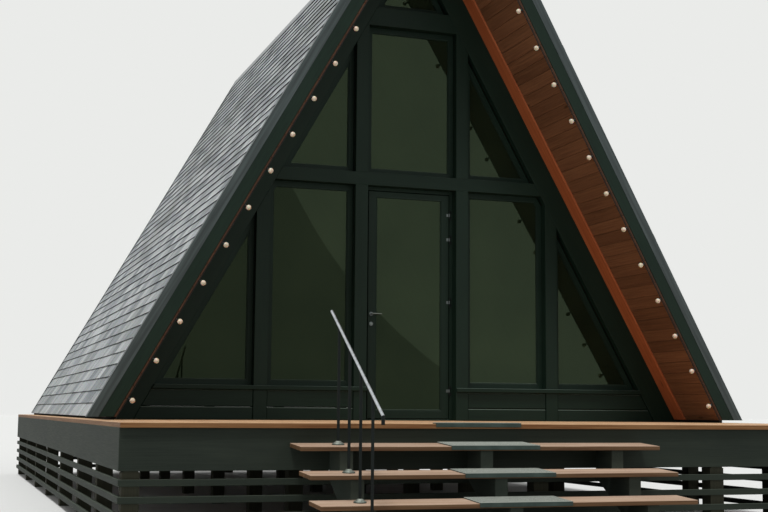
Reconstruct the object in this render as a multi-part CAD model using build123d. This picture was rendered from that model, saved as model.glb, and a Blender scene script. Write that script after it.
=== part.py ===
from build123d import *
from math import cos, radians, sin, tan
import os

os.makedirs("parts", exist_ok=True)

# All sizes are millimetres. X runs to the right along the front, Y from the front to the back, Z up.
# The origin is on the ground under the middle of the front, at the foot of the middle pier.

# Whole cabin
deck_height = 860  # ground to the top of the deck
cabin_length = 7200  # front faces of the front posts to the outer faces of the back posts
half_width = 2880  # middle of the cabin to the lining at deck level
roof_slope = 60.66  # degrees

# Front frame
post_width = 127
post_depth = 150
door_bay = 913
side_bay = 837
beam_rise = 2250  # deck to the underside of the main beam
beam_depth = 124
top_beam_drop = 1285  # peak of the lining to the underside of the top beam
top_beam_depth = 186
rafter_width = 75
rafter_depth = 230
rafter_bays = 6
ridge_width = 50

# Roof covering, counted outwards from the lining
trim_thick = 19  # trim boards under the soffit
board_thick = 20
roofing_thick = 43
overhang = 880  # front posts to the barge face, at the height of lean_rise
lean_rise = 2000
verge_lean = 0.0383  # the verge leans out by this much for each unit of height
eave_gap = 25  # open joint between the roof's lower edge and the platform
ridge_joint = 2
barge_thick = 25
barge_depth = 190
kerb_width = 62
metal_thick = 3
trim_face = 84  # front face of the metal edge
ridge_cap_width = 150
gable_trim_width = 190

# Walls and windows
low_wall_rise = 274
sill_thick = 41
sill_nose = 25
wall_thick = 120
wall_setback = 10
frame_width = 48
frame_depth = 50
frame_setback = 90
glass_thick = 24
glass_inset = 15
back_window_rise = 900

# Door
jamb_width = 32
jamb_depth = 65
jamb_setback = 100
door_gap = 8
stop_width = 14
stop_gap = 5
leaf_thick = 45
stile_width = 77
top_rail = 50
bottom_rail = 74
threshold_thick = 12
leaf_clearance = 8
hinge_radius = 7
hinge_length = 90
hinge_plate = 2.5
hinge_plate_width = 28
hinge_pin_radius = 4
hinge_pin_gap = 0.1
hinge_face_gap = 2
knuckle_gap = 0.5
hinge_rises = (287, 1151, 1771, 2014)
handle_rise = 1015
handle_inset = 32  # leaf's edge to the handle's spindle
lever_length = 104
lever_radius = 7
lever_neck_radius = 6
lever_reach = 48
rose_radius = 20
rose_thick = 8
lock_rise = 919

# Platform
side_ledge = 251  # lining at deck level to the platform's edge
deck_depth = 2866
back_ledge = 1000
deck_thick = 35
joist_width = 50
joist_depth = 150
joist_pitch = 600
bearer_width = 100
bearer_depth = 150
pier_width = 120
front_piers = 2  # spans between piers from the deck's front to the cabin's front
back_piers = 5  # spans from there to the back
side_piers = 2  # spans from the middle to each side
fascia_setback = 31
fascia_depth = 291
skirt_thick = 28  # fascia and slats
corner_joint = 1
slat_first = 382
slat_depth = 46
slat_pitch = 115
slat_count = 4

# Stairs
tread_count = 4
first_rise = 138  # deck to the back edge of the first tread
tread_rise = 182
tread_run = 252.7
tread_depth = 288
tread_thick = 30
tread_fall = 0.0625  # the treads fall forward by this much for each unit of depth
stair_left = -1950
stringer_width = 96
stringer_pitch = 1051
stringer_inset = 290
stringer_throat = 230
mat_left = -848
mat_width = 688
mat_thick = 8
mat_nose = 24
deck_mat_left = -867
deck_mat_width = 676
deck_mat_depth = 70

# Handrail
rail_x = -1641
rail_post_radius = 10.5
rail_flange_radius = 44
rail_flange_edge = 8
rail_flange_height = 25
rail_flange_neck = 18  # radius at its top
rail_radius = 11
rail_rise = 799  # tread to the underside of the rail, at the first post
rail_slope = 0.643
rail_top_reach = 194
rail_low_reach = 203
rail_cap_length = 55
rail_cap_radius = 12

# Light strings
cable_radius = 4
cable_inset = 12  # verge face to the cable
lamp_pitch = 382
lamp_first = 333  # along the slope from the ridge
cable_sides = 6
lamp_sides = 8
socket_radius = 9
socket_length = 20
globe_radius = 24
globe_height = 44
globe_bevel = 13

# Values worked out from the sizes above
slope = radians(roof_slope)
apex = deck_height + half_width * tan(slope)
boards_low = trim_thick
roofing_low = boards_low + board_thick
roof_top = roofing_low + roofing_thick
rafter_low = boards_low - rafter_depth
inner_post = door_bay / 2
outer_post = inner_post + post_width + side_bay
main_low = deck_height + beam_rise
main_top = main_low + beam_depth
top_low = apex - top_beam_drop
top_top = top_low + top_beam_depth
sill_low = deck_height + low_wall_rise
sill_top = sill_low + sill_thick
platform_half = half_width + side_ledge
platform_back = cabin_length + back_ledge
fascia_front = -deck_depth + fascia_setback
joist_low = deck_height - deck_thick - joist_depth
bearer_low = joist_low - bearer_depth
leaf_half = door_bay / 2 - jamb_width - door_gap
leaf_low = deck_height + threshold_thick + leaf_clearance
leaf_top = main_low - jamb_width - door_gap
leaf_back = jamb_setback + leaf_thick
lamp_count = int((half_width / cos(slope) - lamp_first) / lamp_pitch + 1 / 2)
hinge_x = leaf_half + door_gap / 2
hinge_y = jamb_setback - hinge_radius - hinge_face_gap


def save(node, *solids):
    """Write one node's solids to its own file."""
    shape = Compound(children=list(solids)) if len(solids) > 1 else solids[0]
    export_step(shape, f"parts/{node}.step")


def slope_x(height, offset):
    """X of the line that lies the given distance outside the lining, at one height."""
    return (apex - height) / tan(slope) + offset / sin(slope)


def slope_z(x, offset):
    """Height of the line that lies the given distance outside the lining, at one X."""
    return apex - x * tan(slope) + offset / cos(slope)


def upright(points, front, back):
    """A solid whose outline stands in the XZ plane and runs from front to back along Y."""
    outline = make_face(Polyline(*[(x, front, z) for x, z in points], close=True))
    return extrude(outline, amount=back - front, dir=(0, 1, 0))


def box(left, right, front, back, low, top):
    """A rectangular piece between six planes."""
    size = (right - left, back - front, top - low)
    return Pos(left, front, low) * Box(*size, align=(Align.MIN, Align.MIN, Align.MIN))


def left_of(solid):
    """The same piece on the left side."""
    return mirror(solid, about=Plane.YZ)


def back_of(solid):
    """The same piece at the back wall."""
    return mirror(solid, about=Plane.XZ.offset(-cabin_length / 2))


def verge_plane(inward):
    """The leaning plane of the front verge, moved towards the back by the given distance."""
    return Plane(origin=(0, inward - overhang, deck_height + lean_rise), z_dir=(0, 1, verge_lean))


def between_verges(solid, front, back):
    """Trim a piece that runs along Y to the verge planes, moved inwards by a distance at each end."""
    trimmed = split(solid, bisect_by=verge_plane(front), keep=Keep.TOP)
    return back_of(split(back_of(trimmed), bisect_by=verge_plane(back), keep=Keep.TOP))


def slope_outline(low, top, ridge_x, foot):
    """Outline of a layer of the right slope between two offsets, down to the height of its foot."""
    return [
        (ridge_x, slope_z(ridge_x, low)),
        (slope_x(foot, low), foot),
        (slope_x(foot, top), foot),
        (ridge_x, slope_z(ridge_x, top)),
    ]


def roof_layer(low, top, front):
    """A layer of the right slope that runs from the front verge to the barge boards at the back."""
    foot = deck_height + eave_gap
    reach = 2 * overhang
    outline = slope_outline(low, top, ridge_joint / 2, foot)
    return between_verges(upright(outline, -reach, cabin_length + reach), front, barge_thick)


def verge_strip(low, top, near, far):
    """A strip along the right rake of the front verge, between two leaning planes."""
    foot = deck_height + eave_gap
    outline = slope_outline(low, top, ridge_joint / 2, foot)
    strip = upright(outline, -2 * overhang, 0)
    strip = split(strip, bisect_by=verge_plane(near), keep=Keep.TOP)
    return split(strip, bisect_by=verge_plane(far), keep=Keep.BOTTOM)


def rafter(front):
    """A right rafter, from the ridge board down to the platform."""
    outline = slope_outline(rafter_low, boards_low, ridge_width / 2, deck_height)
    return upright(outline, front, front + rafter_width)


def make_rafters():
    """Front rafters, the pairs behind them and the ridge board between them."""
    save("front_rafter_right", rafter(0))
    save("front_rafter_left", left_of(rafter(0)))
    pitch = (cabin_length - rafter_width) / rafter_bays
    right = [rafter(pitch * place) for place in range(1, rafter_bays + 1)]
    save("rafters_right", *right)
    save("rafters_left", *[left_of(piece) for piece in right])
    low, top = slope_z(ridge_width / 2, rafter_low), slope_z(ridge_width / 2, boards_low)
    save("ridge_board", box(-ridge_width / 2, ridge_width / 2, 0, cabin_length, low, top))


def make_roof():
    """Boarding that shows as the soffit, the roofing on it and the cap on the ridge."""
    boards = roof_layer(boards_low, roofing_low, metal_thick)
    roofing = roof_layer(roofing_low, roof_top, barge_thick)
    save("roof_boards_right", boards)
    save("roof_boards_left", left_of(boards))
    save("roofing_right", roofing)
    save("roofing_left", left_of(roofing))
    reach = ridge_cap_width * cos(slope)
    over = roof_top + metal_thick
    half = [(0, slope_z(0, roof_top)), (reach, slope_z(reach, roof_top)), (reach, slope_z(reach, over))]
    outline = half + [(0, slope_z(0, over))] + [(-x, z) for x, z in reversed(half[1:])]
    cap = upright(outline, -2 * overhang, cabin_length + 2 * overhang)
    inward = barge_thick + kerb_width + metal_thick
    save("ridge_cap", between_verges(cap, inward, inward))


def metal_edge(top):
    """The folded metal edge over a verge whose boards end at the given offset from the lining."""
    over, inner = top + metal_thick, barge_thick + kerb_width
    metal = verge_strip(over - trim_face, over, -metal_thick, 0)
    return metal + verge_strip(top, over, 0, inner)


def make_verges():
    """Barge boards and metal edges: raised on kerbs at the front, level with the roofing at the back."""
    top, inner = roofing_low + barge_depth, barge_thick + kerb_width
    barge = verge_strip(roofing_low, top, 0, barge_thick)
    save("barge_board_right", barge)
    save("barge_board_left", left_of(barge))
    kerb = verge_strip(roof_top, top, barge_thick, inner)
    save("verge_kerbs", kerb, left_of(kerb))
    metal = metal_edge(top) + verge_strip(roof_top, top + metal_thick, inner, inner + metal_thick)
    metal = metal.clean()
    save("verge_metal_front", metal, left_of(metal))
    low_barge = back_of(verge_strip(roof_top - barge_depth, roof_top, 0, barge_thick))
    save("back_barge_boards", low_barge, left_of(low_barge))
    low_metal = back_of(metal_edge(roof_top).clean())
    save("verge_metal_back", low_metal, left_of(low_metal))
    outline = slope_outline(0, boards_low, ridge_joint / 2, deck_height + eave_gap)
    trim = upright(outline, -gable_trim_width, 0)
    save("gable_trim_boards", trim, left_of(trim), back_of(trim), back_of(left_of(trim)))


def under_rafter(left, right, low, top):
    """Outline of a rectangle without what lies beyond the underside of the right rafter."""
    corners = [(left, low), (right, low), (right, top), (left, top)]
    outline = []
    for (x, z), (next_x, next_z) in zip(corners, corners[1:] + corners[:1]):
        under = z <= slope_z(x, rafter_low)
        if under:
            outline.append((x, z))
        if under != (next_z <= slope_z(next_x, rafter_low)):
            outline.append((slope_x(z, rafter_low), z) if z == next_z else (x, slope_z(x, rafter_low)))
    return outline


def cross_beam(low, top):
    """A beam across the frame, its ends cut to the undersides of the rafters."""
    ends = [(slope_x(low, rafter_low), low), (slope_x(top, rafter_low), top)]
    outline = ends + [(-x, z) for x, z in reversed(ends)]
    return upright(outline, 0, post_depth)


def make_frames():
    """Posts and beams of the front and back walls."""
    inner = upright(under_rafter(inner_post, inner_post + post_width, deck_height, top_low), 0, post_depth)
    outer = upright(under_rafter(outer_post, outer_post + post_width, deck_height, main_low), 0, post_depth)
    inner -= box(0, half_width, 0, post_depth, main_low, main_top)
    lower_post, upper_post = inner.solids().sort_by(Axis.Z)
    save("door_posts", lower_post, left_of(lower_post))
    save("upper_posts", upper_post, left_of(upper_post))
    save("outer_posts", outer, left_of(outer))
    main, top = cross_beam(main_low, main_top), cross_beam(top_low, top_top)
    save("main_beam", main)
    save("top_beam", top)
    posts = [lower_post, left_of(lower_post), upper_post, left_of(upper_post), outer, left_of(outer)]
    save("back_posts", *[back_of(piece) for piece in posts])
    save("back_beams", back_of(main), back_of(top))


def side_opening(low):
    """Outline of the lower bay between the door post and the outer post, over the given height."""
    return under_rafter(inner_post + post_width, outer_post, low, main_low)


def corner_opening(low):
    """Outline of the lower bay outside the outer post, over the given height."""
    return under_rafter(outer_post + post_width, half_width, low, main_low)


def upper_opening():
    """Outline of the upper bay beside the post."""
    return under_rafter(inner_post + post_width, half_width, main_top, top_low)


def middle_opening(low, top):
    """Outline of the bay between the two middle posts."""
    return [(-inner_post, low), (inner_post, low), (inner_post, top), (-inner_post, top)]


def gable_opening():
    """Outline of the opening above the top beam."""
    foot, head = slope_x(top_top, rafter_low), ridge_width / 2
    top = slope_z(head, rafter_low)
    return [(-foot, top_top), (foot, top_top), (head, top), (-head, top)]


def narrowed(points, front, back):
    """The upright solid of an outline that is moved inwards by the width of a window frame."""
    whole = upright(points, front, back)
    inner = whole
    for (x, z), (next_x, next_z) in zip(points, points[1:] + points[:1]):
        across = Vector(next_x - x, 0, next_z - z).cross(Vector(0, 1, 0)).normalized() * frame_width
        inner = inner & Pos(across) * whole
    return inner


def window(points):
    """The frame and the glass that fill one opening, whose outline turns anticlockwise."""
    outside = upright(points, frame_setback, frame_setback + frame_depth)
    start = frame_setback + glass_inset
    pane = narrowed(points, start, start + glass_thick)
    return outside - narrowed(points, 0, 2 * frame_setback), pane


def make_windows():
    """Frames and glass of the front, a low and a high storey."""
    low_right = [window(side_opening(sill_top)), window(corner_opening(sill_top))]
    high_right = [window(upper_opening())]
    middle = [window(middle_opening(main_top, top_low)), window(gable_opening())]
    pairs = low_right + high_right
    frames = [pair[0] for pair in pairs]
    save("window_frames", *frames, *[left_of(frame) for frame in frames], *[pair[0] for pair in middle])
    low_glass = [pair[1] for pair in low_right]
    save("lower_glass", *low_glass, *[left_of(pane) for pane in low_glass])
    high_glass = [pair[1] for pair in high_right]
    save("upper_glass", *high_glass, *[left_of(pane) for pane in high_glass], *[pair[1] for pair in middle])


def make_low_walls():
    """Low walls under the side windows, and the sills that run in front of the posts."""
    front, back = wall_setback, wall_setback + wall_thick
    side_left, side_right = inner_post + post_width, outer_post
    side = box(side_left, side_right, front, back, deck_height, sill_low)
    corner_left = outer_post + post_width
    corner = upright(under_rafter(corner_left, half_width, deck_height, sill_low), front, back)
    save("low_wall_right", side, corner)
    save("low_wall_left", left_of(side), left_of(corner))
    outline = under_rafter(inner_post, half_width, sill_low, sill_top)
    sill = upright(outline, -sill_nose, frame_setback + frame_depth)
    sill -= box(inner_post, side_left, 0, post_depth, sill_low, sill_top)
    sill -= box(outer_post, corner_left, 0, post_depth, sill_low, sill_top)
    save("window_sills", sill, left_of(sill))


def make_back_wall():
    """Boarded back wall with one window to each storey."""
    front, back = wall_setback, wall_setback + wall_thick
    window_low = deck_height + back_window_rise
    right = [side_opening(deck_height), corner_opening(deck_height), upper_opening()]
    panels = [upright(points, front, back) for points in right]
    middle = [middle_opening(deck_height, window_low), gable_opening()]
    panels += [left_of(panel) for panel in panels] + [upright(points, front, back) for points in middle]
    save("back_wall", *[back_of(panel) for panel in panels])
    windows = [window(middle_opening(window_low, main_low)), window(middle_opening(main_top, top_low))]
    save("back_window_frames", *[back_of(pair[0]) for pair in windows])
    save("back_glass", *[back_of(pair[1]) for pair in windows])


def make_door_frame():
    """Jambs and head with the stops that the leaf closes on, and the threshold."""
    half, back, head = door_bay / 2, jamb_setback + jamb_depth, main_low - jamb_width
    edge = half - jamb_width
    inner = edge - stop_width
    frame = box(-half, half, jamb_setback, back, deck_height, main_low)
    frame -= box(-edge, edge, jamb_setback, leaf_back + stop_gap, deck_height, head)
    frame -= box(-inner, inner, jamb_setback, back, deck_height, head - stop_width)
    save("door_frame", frame)
    save("threshold", box(-edge, edge, jamb_setback, leaf_back, deck_height, deck_height + threshold_thick))


def make_leaf():
    """The glazed leaf."""
    leaf = box(-leaf_half, leaf_half, jamb_setback, leaf_back, leaf_low, leaf_top)
    left, low, top = leaf_half - stile_width, leaf_low + bottom_rail, leaf_top - top_rail
    leaf -= box(-left, left, jamb_setback, leaf_back, low, top)
    save("door_leaf", leaf)
    front = jamb_setback + (leaf_thick - glass_thick) / 2
    save("door_glass", box(-left, left, front, front + glass_thick, low, top))


def turned(x, y, z, radius, length, axis):
    """A round bar that starts at a point and runs along an axis."""
    plane = Plane(origin=(x, y, z), z_dir=axis)
    return extrude(plane * Circle(radius), amount=length)


def make_handle():
    """Lever handles on both faces of the leaf, with the lock's covers below them."""
    x, z = -leaf_half + handle_inset, deck_height + handle_rise
    pieces = []
    for face, out in ((jamb_setback, -1), (leaf_back, 1)):
        rose = turned(x, face, z, rose_radius, rose_thick, (0, out, 0))
        neck = turned(x, face, z, lever_neck_radius, lever_reach, (0, out, 0))
        lever = turned(x - lever_radius, face + out * lever_reach, z, lever_radius, lever_length, (1, 0, 0))
        pieces.append((rose + neck + lever).clean())
        pieces.append(turned(x, face, deck_height + lock_rise, rose_radius, rose_thick, (0, out, 0)))
    save("door_handle", *pieces)


def hinge_bar(radius, low, top):
    """A round bar on the axis of the door's hinges."""
    return turned(hinge_x, hinge_y, low, radius, top - low, (0, 0, 1))


def make_hinges():
    """Four hinges: the leaf's knuckle turns on a pin between the two knuckles of the frame."""
    leaf_parts, frame_parts = [], []
    third = hinge_length / 3
    face = jamb_setback - hinge_plate
    left, right = hinge_x - hinge_plate_width, hinge_x + hinge_plate_width
    near, far = hinge_radius / 2, hinge_radius
    for rise in hinge_rises:
        low = deck_height + rise - hinge_length / 2
        start, stop = low + third + knuckle_gap, low + 2 * third - knuckle_gap
        plate = box(left, hinge_x, face, jamb_setback, start, stop)
        plate -= hinge_bar(hinge_radius, low, low + hinge_length)
        plate += box(hinge_x - far, hinge_x - near, hinge_y, jamb_setback, start, stop)
        knuckle = hinge_bar(hinge_radius, start, stop)
        bore = hinge_bar(hinge_pin_radius + hinge_pin_gap, low, low + hinge_length)
        leaf_parts.append(knuckle + plate - bore)
        pin = hinge_bar(hinge_pin_radius, low, low + hinge_length)
        for end in (low, low + 2 * third):
            pin += hinge_bar(hinge_radius, end, end + third)
            pin += box(hinge_x + near, hinge_x + far, hinge_y, jamb_setback, end, end + third)
            pin += box(hinge_x + near, right, face, jamb_setback, end, end + third)
        frame_parts.append(pin)
    save("door_hinges", *leaf_parts)
    save("frame_hinges", *frame_parts)


def make_platform():
    """Boards, joists, bearers and piers of the platform that carries the cabin and the deck."""
    low = deck_height - deck_thick
    front_deck = box(-platform_half, platform_half, -deck_depth, 0, low, deck_height)
    ledge = box(-platform_half, platform_half, cabin_length, platform_back, low, deck_height)
    save("deck_boards", front_deck, ledge)
    save("cabin_floor", box(-platform_half, platform_half, 0, cabin_length, low, deck_height))
    side = platform_half - skirt_thick
    front, back = fascia_front + skirt_thick, platform_back - skirt_thick
    count = int((back - front - joist_width) / joist_pitch)
    pitch = (back - front - joist_width) / count
    fronts = [front + pitch * place for place in range(count + 1)]
    save("joists", *[box(-side, side, y, y + joist_width, joist_low, low) for y in fronts])
    half = pier_width / 2
    outer_row = platform_half - skirt_thick - half
    rows = [outer_row * place / side_piers for place in range(-side_piers, side_piers + 1)]
    bearer_half = bearer_width / 2
    bearers = [box(x - bearer_half, x + bearer_half, front, back, bearer_low, joist_low) for x in rows]
    save("bearers", *bearers)
    first, last = front + half, back - half
    places = [first * place / front_piers for place in range(front_piers, 0, -1)]
    places += [last * place / back_piers for place in range(back_piers + 1)]
    piers = [box(x - half, x + half, y - half, y + half, 0, bearer_low) for x in rows for y in places]
    save("piers", *piers)


def band(low, top):
    """Four boards round the platform, butted at its corners with a narrow joint."""
    inner = platform_half - skirt_thick
    front, back = fascia_front + skirt_thick + corner_joint, platform_back - skirt_thick - corner_joint
    return [
        box(-platform_half, platform_half, fascia_front, fascia_front + skirt_thick, low, top),
        box(-platform_half, platform_half, platform_back - skirt_thick, platform_back, low, top),
        box(-platform_half, -inner, front, back, low, top),
        box(inner, platform_half, front, back, low, top),
    ]


def make_skirt():
    """Fascia under the deck boards and the open slats below it."""
    top = deck_height - deck_thick
    save("fascia", *band(top - fascia_depth, top))
    tops = [deck_height - slat_first - slat_pitch * place for place in range(slat_count)]
    save("skirt_slats", *[board for height in tops for board in band(height - slat_depth, height)])


def tread_back(place):
    """Y of the back edge of a tread, counted from the top."""
    return fascia_front - tread_run * place


def tread_top(place):
    """Height of the back edge of a tread's top."""
    return deck_height - first_rise - tread_rise * place


def side_profile(points, left, right):
    """A solid whose outline stands in the YZ plane and runs from left to right."""
    outline = make_face(Polyline(*[(left, y, z) for y, z in points], close=True))
    return extrude(outline, amount=right - left, dir=(1, 0, 0))


def falling(back, top, depth, thick):
    """Outline of a board that falls forward from its back edge."""
    front, drop = back - depth, tread_fall * depth
    return [(back, top), (front, top - drop), (front, top - drop - thick), (back, top - thick)]


def stringer(middle):
    """A stepped carriage under the treads, from the fascia to the ground."""
    points = []
    for place in range(tread_count):
        seat = tread_top(place) - tread_thick
        points.append((tread_back(place), seat))
        points.append((tread_back(place + 1), seat - tread_fall * tread_run))
    foot = tread_back(tread_count)
    points.append((foot, 0))
    points.append((foot + tread_run, 0))
    points.append((fascia_front, tread_top(0) - tread_thick - stringer_throat))
    return side_profile(points, middle - stringer_width / 2, middle + stringer_width / 2)


def make_stairs():
    """Treads on their carriages, with a mat over each nosing."""
    first = stair_left + stringer_inset + stringer_width / 2
    middles = [first + stringer_pitch * place for place in (0, 1, 2)]
    right = middles[-1] + stringer_width / 2 + stringer_inset
    save("stair_stringers", *[stringer(middle) for middle in middles])
    treads, mats = [], []
    for place in range(tread_count):
        back, top = tread_back(place), tread_top(place)
        treads.append(side_profile(falling(back, top, tread_depth, tread_thick), stair_left, right))
        mat = falling(back, top + mat_thick, tread_depth, mat_thick)
        front, drop = back - tread_depth, tread_fall * tread_depth
        nose = [(front, top - drop + mat_thick), (front - mat_thick, top - drop + mat_thick)]
        nose += [(front - mat_thick, top - drop - mat_nose), (front, top - drop - mat_nose)]
        pieces = [side_profile(points, mat_left, mat_left + mat_width) for points in (mat, nose)]
        mats.append((pieces[0] + pieces[1]).clean())
    save("stair_treads", *treads)
    left, over = deck_mat_left, deck_mat_left + deck_mat_width
    front, back = -deck_depth - mat_thick, -deck_depth + deck_mat_depth
    deck_mat = box(left, over, front, back, deck_height, deck_height + mat_thick)
    deck_mat += box(left, over, front, -deck_depth, deck_height - mat_nose, deck_height)
    save("step_mats", *mats, deck_mat.clean())


def rail_post(place):
    """A post in its domed flange, cut to the tread below and the rail above."""
    first_y, first_z = rail_start()
    y, foot = first_y - tread_run * place, tread_top(place) - tread_fall * tread_depth / 2
    low, edge = foot - rail_flange_edge, foot + rail_flange_edge
    top = first_z - rail_slope * tread_run * place
    post = turned(rail_x, y, low, rail_post_radius, top - low, (0, 0, 1))
    post += turned(rail_x, y, low, rail_flange_radius, edge - low, (0, 0, 1))
    height = rail_flange_height - rail_flange_edge
    aligned = (Align.CENTER, Align.CENTER, Align.MIN)
    post += Pos(rail_x, y, edge) * Cone(rail_flange_radius, rail_flange_neck, height, align=aligned)
    tread = falling(tread_back(place), tread_top(place), tread_depth, tread_thick)
    left, right = rail_x - 2 * rail_flange_radius, rail_x + 2 * rail_flange_radius
    return post - side_profile(tread, left, right)


def rail_start():
    """Y of the first post, and the height of the rail's axis above it."""
    lift = rail_radius / cos_of(rail_slope)
    return tread_back(0) - tread_depth / 2, deck_height - first_rise + rail_rise + lift


def make_handrail():
    """Four thin posts, the tube that runs down over them and the piece that hangs from its lower end."""
    first_y, first_z = rail_start()
    last_y = first_y - (tread_count - 1) * tread_run - rail_low_reach
    start = Vector(rail_x, first_y + rail_top_reach, first_z + rail_slope * rail_top_reach)
    end = Vector(rail_x, last_y, first_z - rail_slope * (first_y - last_y))
    tilt = (end - start).normalized()
    over = 2 * rail_radius
    mitre = Plane(origin=end, z_dir=tilt + Vector(0, 0, -1))
    rail = turned(*start, rail_radius, (end - start).length + over, tilt)
    rail = split(rail, bisect_by=mitre, keep=Keep.BOTTOM)
    cap = turned(end.X, end.Y, end.Z - rail_cap_length, rail_cap_radius, rail_cap_length + over, (0, 0, 1))
    save("rail_posts", *[rail_post(place) - rail for place in range(tread_count)])
    save("handrail", rail)
    save("handrail_cap", split(cap, bisect_by=mitre, keep=Keep.TOP))


def verge_point(along, offset, inward):
    """A point on the right rake, along the slope from the ridge, off the lining and in from the verge."""
    x = along * cos(slope) + offset * sin(slope)
    z = apex - along * sin(slope) + offset * cos(slope)
    y = inward - overhang - verge_lean * (z - deck_height - lean_rise)
    return Vector(x, y, z)


def many_sided(start, radius, sides, length, axis):
    """A bar with flat sides that starts at a point and runs along an axis."""
    plane = Plane(origin=start, z_dir=axis)
    return extrude(plane * RegularPolygon(radius, sides), amount=length)


def globe(lamp, axis):
    """A globe with flat sides that stands on the end of its socket."""
    body = extrude(RegularPolygon(globe_radius, lamp_sides), amount=globe_height)
    rims = body.edges().filter_by(Axis.Z, reverse=True)
    return Plane(origin=lamp, z_dir=axis) * Pos(0, 0, socket_length) * chamfer(rims, globe_bevel)


def make_lights():
    """The cable that is clipped along the front verge, with a socket and a globe at each lamp."""
    cable_offset = boards_low - cable_radius
    start, end = lamp_first - lamp_pitch / 2, lamp_first + lamp_pitch * (lamp_count - 1 / 2)
    head = verge_point(start, cable_offset, cable_inset)
    foot = verge_point(end, cable_offset, cable_inset)
    cable = many_sided(head, cable_radius, cable_sides, (foot - head).length, foot - head)
    inwards = (-sin(slope), 0, -cos(slope))
    globes = []
    for place in range(lamp_count):
        lamp = verge_point(lamp_first + lamp_pitch * place, cable_offset, cable_inset)
        cable += many_sided(lamp, socket_radius, lamp_sides, socket_length, inwards)
        globes.append(globe(lamp, inwards))
    save("light_cables", cable, left_of(cable))
    save("light_globes", *globes, *[left_of(piece) for piece in globes])


def cos_of(gradient):
    """Cosine of the angle that has this gradient."""
    return 1 / (1 + gradient ** 2) ** 0.5


def sin_of(gradient):
    """Sine of the angle that has this gradient."""
    return gradient * cos_of(gradient)


make_rafters()
make_roof()
make_verges()
make_frames()
make_windows()
make_low_walls()
make_back_wall()
make_door_frame()
make_leaf()
make_handle()
make_hinges()
make_platform()
make_skirt()
make_stairs()
make_handrail()
make_lights()
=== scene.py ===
import math
import random

import bmesh
import bpy
from mathutils import Matrix, Vector


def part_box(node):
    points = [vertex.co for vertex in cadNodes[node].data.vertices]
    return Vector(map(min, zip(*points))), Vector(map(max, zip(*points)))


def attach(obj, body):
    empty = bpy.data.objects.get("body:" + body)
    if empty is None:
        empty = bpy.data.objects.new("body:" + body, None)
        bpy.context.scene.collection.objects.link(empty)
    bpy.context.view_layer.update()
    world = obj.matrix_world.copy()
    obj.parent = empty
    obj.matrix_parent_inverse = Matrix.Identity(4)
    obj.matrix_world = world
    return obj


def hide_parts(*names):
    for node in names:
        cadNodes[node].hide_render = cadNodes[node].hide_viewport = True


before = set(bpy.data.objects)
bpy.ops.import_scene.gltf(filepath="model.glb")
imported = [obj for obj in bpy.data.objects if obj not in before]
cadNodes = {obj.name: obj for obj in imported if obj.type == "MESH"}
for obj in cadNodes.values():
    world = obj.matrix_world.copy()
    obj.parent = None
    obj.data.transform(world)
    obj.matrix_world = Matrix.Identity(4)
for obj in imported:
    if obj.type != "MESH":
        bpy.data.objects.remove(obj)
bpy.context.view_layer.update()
print("stage: frame loaded,", len(cadNodes), "nodes")

# Sizes of the cabin that several pieces share, in metres and degrees, as in the construction model
cabin = {
    "deckTop": 0.860,
    "length": 7.200,
    "halfWidth": 2.880,
    "slope": 60.66,
    "vergeOut": 0.880,  # post fronts to the barge face, at the height below
    "vergeHeight": 2.860,
    "vergeLean": 0.0383,
}
slopeAngle = math.radians(cabin["slope"])
apexHeight = cabin["deckTop"] + cabin["halfWidth"] * math.tan(slopeAngle)
roofSides = {"right": 1, "left": -1}
right, front, back, up = Vector((1, 0, 0)), Vector((0, -1, 0)), Vector((0, 1, 0)), Vector((0, 0, 1))


# Camera

cameraSetup = {
    "place": (-4.3213, -11.7387, 0.9477),
    "lens": 61.0,
    "sensor": 36.0,  # millimetres
    "yaw": 0.3307,  # to the right of straight ahead, in radians
    "pitch": 0.1187,
    "roll": 0.0078,
}


def addCamera(setup):
    level = Vector((math.sin(setup["yaw"]), math.cos(setup["yaw"]), 0)) * math.cos(setup["pitch"])
    forward = level + Vector((0, 0, math.sin(setup["pitch"])))
    across = Matrix.Rotation(setup["roll"], 3, -forward) @ forward.cross(up).normalized()
    turn = Matrix((across, across.cross(forward), -forward)).transposed().to_4x4()
    camera = bpy.data.objects.new("camera", bpy.data.cameras.new("camera"))
    camera.data.lens = setup["lens"]
    camera.data.sensor_width = setup["sensor"]
    camera.matrix_world = Matrix.Translation(setup["place"]) @ turn
    bpy.context.scene.collection.objects.link(camera)
    bpy.context.scene.camera = camera


addCamera(cameraSetup)
print("stage: camera")


# Nodes and colours

def toLinear(hexColour):
    parts = [int(hexColour[start:start + 2], 16) / 255 for start in (1, 3, 5)]
    linear = [((part + 0.055) / 1.055) ** 2.4 if part > 0.04045 else part / 12.92 for part in parts]
    return (*linear, 1.0)


def addNode(tree, kind, inputs=None, **settings):
    # An input takes a socket to link to, a node for its first output, a hex colour or a plain value.
    node = tree.nodes.new(kind)
    for name, value in settings.items():
        setattr(node, name, value)
    for socket, value in (inputs or {}).items():
        if isinstance(value, bpy.types.Node):
            value = value.outputs[0]
        if isinstance(value, bpy.types.NodeSocket):
            tree.links.new(value, node.inputs[socket])
        elif isinstance(value, str) and value.startswith("#"):
            node.inputs[socket].default_value = toLinear(value)
        else:
            node.inputs[socket].default_value = value
    return node


def newMaterial(name):
    material = bpy.data.materials.new(name)
    material.use_nodes = True
    material.node_tree.nodes.clear()
    return material, material.node_tree


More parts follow.
